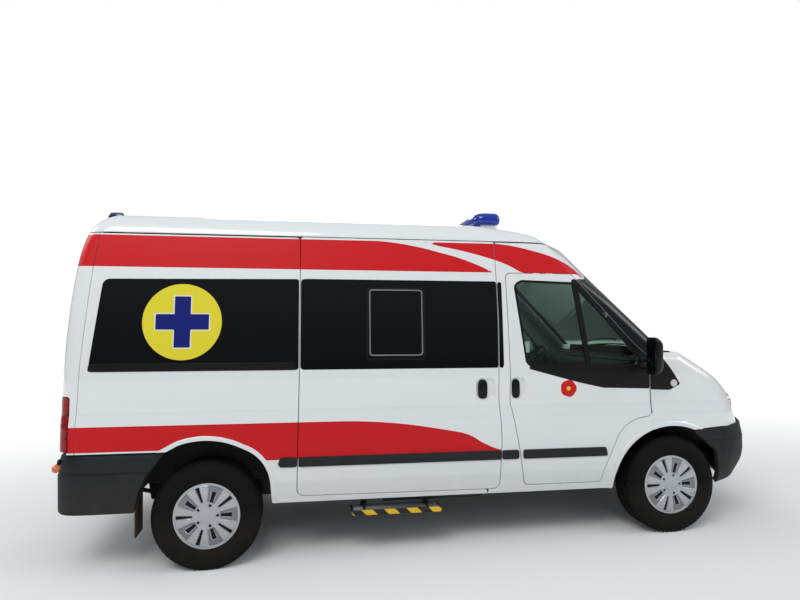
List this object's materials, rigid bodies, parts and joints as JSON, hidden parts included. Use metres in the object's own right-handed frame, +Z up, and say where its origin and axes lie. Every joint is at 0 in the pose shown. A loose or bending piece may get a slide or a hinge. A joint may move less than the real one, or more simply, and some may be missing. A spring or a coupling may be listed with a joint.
{
  "type": "ambulance",
  "caption": "Medium-roof window van fitted out as an ambulance, with hinged cab and rear doors, a sliding side door, a lifting bonnet, steered front wheels and a roof light bar.",
  "frame": {"origin": "centre of the bounding box on the ground", "axes": "+X forward, +Y to the left, +Z up"},
  "size_m": [5.2014, 2.374, 2.4277],
  "materials": {
    "white_paint": "gloss two-pack body paint",
    "floor_paint": "satin underbody paint",
    "chassis_black": "satin black paint",
    "clear_glass": "lightly green toughened glass",
    "privacy_glass": "dark privacy glass",
    "bumper_plastic": "grained dark grey plastic",
    "black_plastic": "grained black plastic",
    "grey_trim": "soft grained grey cab plastic",
    "seat_fabric": "dark woven cloth",
    "lamp_clear": "clear lamp cover",
    "lamp_red": "red lamp plastic",
    "lamp_blue": "blue lamp plastic",
    "lamp_orange": "orange and rubber marker lamp",
    "tyre_rubber": "black tyre rubber",
    "rubber": "black rubber",
    "silver_wheel": "silver lacquer",
    "cast_metal": "raw cast metal",
    "steel": "dull steel",
    "tread_metal": "chequered aluminium"
  },
  "bodies": {
    "body": {"roof": "white_paint", "body_side_left": "white_paint", "body_side_right": "white_paint", "front_wing_left": "white_paint", "front_wing_right": "white_paint", "cowl": "black_plastic", "windscreen": "clear_glass", "sliding_door": "white_paint", "side_glass": "privacy_glass", "tail_lamps": "lamp_red", "headlamps": "lamp_clear", "grille": "bumper_plastic", "front_bumper": "bumper_plastic", "rear_bumper": "bumper_plastic", "rub_strips_body": "bumper_plastic", "floor": "floor_paint", "chassis": "chassis_black", "wheel_houses": "chassis_black", "bulkhead": "grey_trim", "dashboard": "grey_trim", "seats": "seat_fabric", "engine": "cast_metal", "radiator": "chassis_black", "fuel_tank": "black_plastic", "exhaust": "steel", "side_step": "tread_metal", "mud_flaps": "rubber", "light_bar": "white_paint", "light_bar_lens_blue": "lamp_blue", "light_bar_lens_red": "lamp_red", "rear_beacons": "lamp_blue", "wipers": "black_plastic", "marker_lamps": "lamp_orange", "front_subframe": "chassis_black", "rear_axle": "chassis_black"},
    "door_front_left": {"front_door_left": "white_paint", "door_glass_left": "clear_glass", "mirror_left": "black_plastic", "rub_strip_door_left": "bumper_plastic"},
    "door_front_right": {"front_door_right": "white_paint", "door_glass_right": "clear_glass", "mirror_right": "black_plastic", "rub_strip_door_right": "bumper_plastic"},
    "door_rear_left": {"rear_door_left": "white_paint", "rear_glass_left": "privacy_glass"},
    "door_rear_right": {"rear_door_right": "white_paint", "rear_glass_right": "privacy_glass"},
    "bonnet_lid": {"bonnet": "white_paint"},
    "steering_column": {"steering_wheel": "black_plastic"},
    "steered_left": {"knuckle_left": "cast_metal"},
    "steered_right": {"knuckle_right": "cast_metal"},
    "road_wheel_front_left": {"wheel_front_left": "silver_wheel", "tyre_front_left": "tyre_rubber"},
    "road_wheel_front_right": {"wheel_front_right": "silver_wheel", "tyre_front_right": "tyre_rubber"},
    "road_wheel_rear_left": {"wheel_rear_left": "silver_wheel", "tyre_rear_left": "tyre_rubber"},
    "road_wheel_rear_right": {"wheel_rear_right": "silver_wheel", "tyre_rear_right": "tyre_rubber"}
  },
  "joints": [
    {"name": "front_door_left_hinge", "type": "hinge", "parent": "body", "child": "door_front_left", "pos_m": [1.51845, 0.986, 0.96871], "axis": [-0.0209, 0, -0.9998], "range_deg": [0, 65]},
    {"name": "front_door_right_hinge", "type": "hinge", "parent": "body", "child": "door_front_right", "pos_m": [1.51845, -0.986, 0.96871], "axis": [0.0209, 0, 0.9998], "range_deg": [0, 65]},
    {"name": "rear_door_left_hinge", "type": "hinge", "parent": "body", "child": "door_rear_left", "pos_m": [-2.54266, 0.845, 1.05378], "axis": [-0.0209, 0, -0.9998], "range_deg": [0, 180]},
    {"name": "rear_door_right_hinge", "type": "hinge", "parent": "body", "child": "door_rear_right", "pos_m": [-2.54266, -0.845, 1.05378], "axis": [0.0209, 0, 0.9998], "range_deg": [0, 180]},
    {"name": "bonnet_hinge", "type": "hinge", "parent": "body", "child": "bonnet_lid", "pos_m": [1.82299, 0, 1.32541], "axis": [0, -1, 0], "range_deg": [0, 55]},
    {"name": "steer_left", "type": "hinge", "parent": "body", "child": "steered_left", "pos_m": [1.668, 0.76097, 0.35], "axis": [0, -0.2352, 0.972], "range_deg": [-35, 35]},
    {"name": "steer_right", "type": "hinge", "parent": "body", "child": "steered_right", "pos_m": [1.668, -0.76097, 0.35], "axis": [0, 0.2352, 0.972], "range_deg": [-35, 35]},
    {"name": "steering_wheel_turn", "type": "hinge", "parent": "body", "child": "steering_column", "pos_m": [1.17593, 0.47, 1.18594], "axis": [-0.7524, 0, 0.6587], "range_deg": [-525, 525]},
    {"name": "wheel_spin_front_left", "type": "hinge", "parent": "steered_left", "child": "road_wheel_front_left", "pos_m": [1.668, 0.8685, 0.35], "axis": [0, 1, 0], "continuous": true},
    {"name": "wheel_spin_front_right", "type": "hinge", "parent": "steered_right", "child": "road_wheel_front_right", "pos_m": [1.668, -0.8685, 0.35], "axis": [0, 1, 0], "continuous": true},
    {"name": "wheel_spin_rear_left", "type": "hinge", "parent": "body", "child": "road_wheel_rear_left", "pos_m": [-1.632, 0.86, 0.35], "axis": [0, 1, 0], "continuous": true},
    {"name": "wheel_spin_rear_right", "type": "hinge", "parent": "body", "child": "road_wheel_rear_right", "pos_m": [-1.632, -0.86, 0.35], "axis": [0, 1, 0], "continuous": true}
  ],
  "couplings": [
    {"joint": "steer_right", "follows": "steer_left", "ratio": 1},
    {"joint": "steering_wheel_turn", "follows": "steer_left", "ratio": 15}
  ]
}
